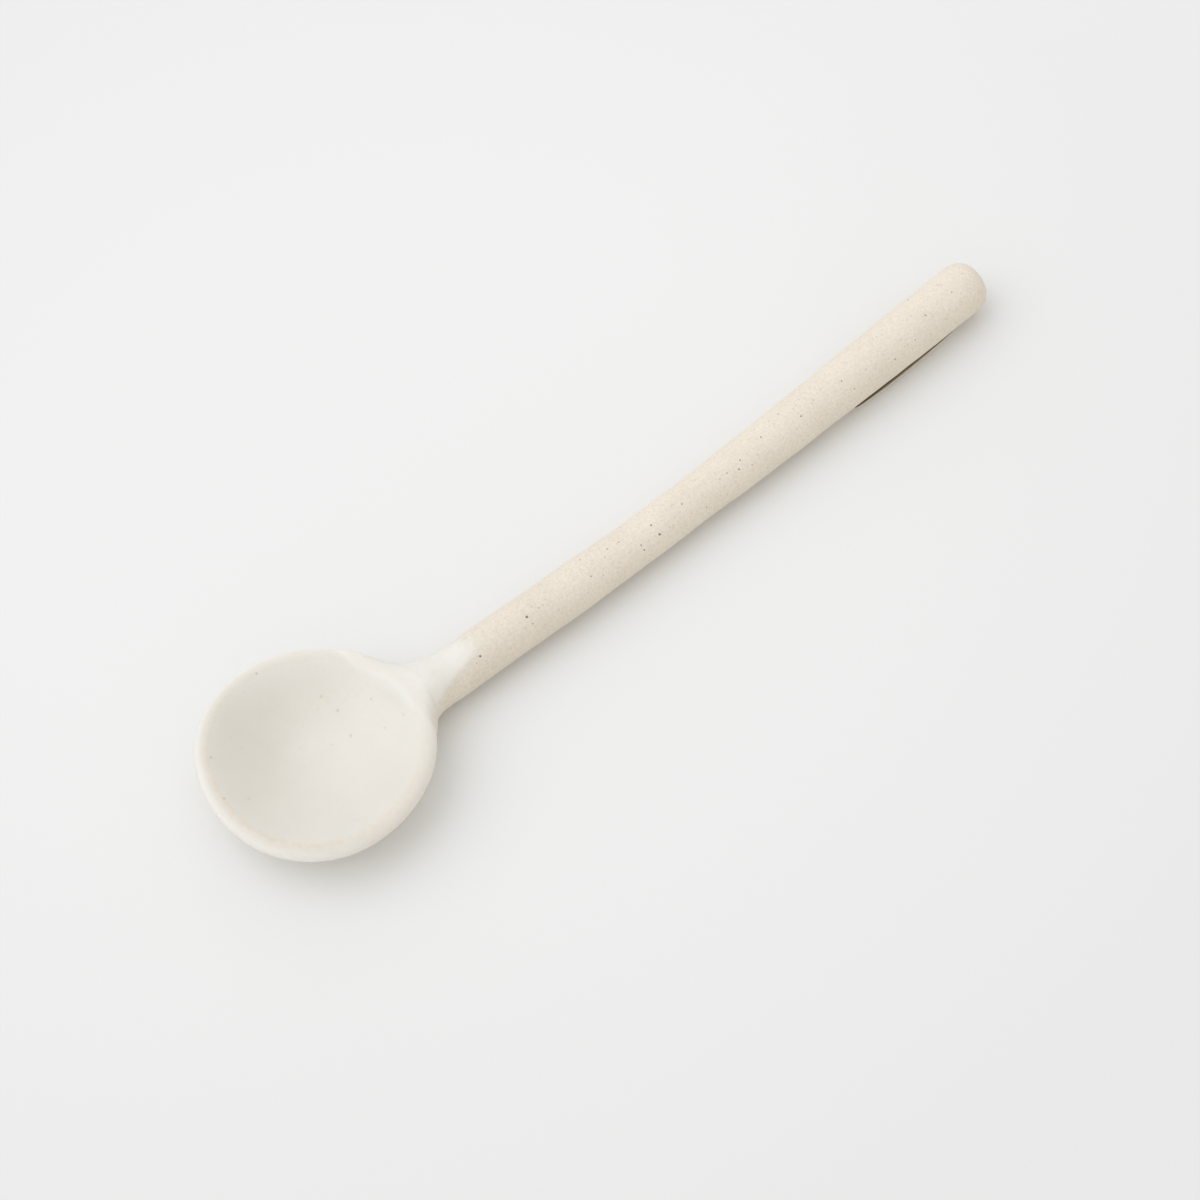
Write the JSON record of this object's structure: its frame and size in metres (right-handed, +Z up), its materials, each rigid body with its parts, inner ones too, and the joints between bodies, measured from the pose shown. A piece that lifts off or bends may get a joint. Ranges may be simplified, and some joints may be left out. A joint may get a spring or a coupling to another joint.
{
  "type": "ceramic spoon",
  "caption": "Small hand-built stoneware spoon: a shallow round glazed bowl with a thick rolled rim and a flat foot, on a bare round coil handle with a blunt tip.",
  "frame": {"origin": "centre of the bowl's flat foot, on the table", "axes": "+X along the handle from the bowl to the tip, +Z up; seen from above with the tip to the right, +Y is the far side"},
  "size_m": [0.1798, 0.042, 0.0115],
  "materials": {
    "stoneware": "bare cream stoneware, matt, fine sandy grain with small dark iron specks",
    "slip": "fired slip, matt",
    "glaze": "smooth matt off-white glaze, thinning to warm tan along the rim's crest",
    "label": "blank uncoated paper",
    "glue": "dried adhesive film"
  },
  "bodies": {
    "root": {"bowl": "stoneware", "joint_slip": "slip", "handle": "stoneware", "bowl_glaze": "glaze", "neck_glaze": "glaze", "label": "label", "label_glue": "glue"}
  },
  "joints": []
}
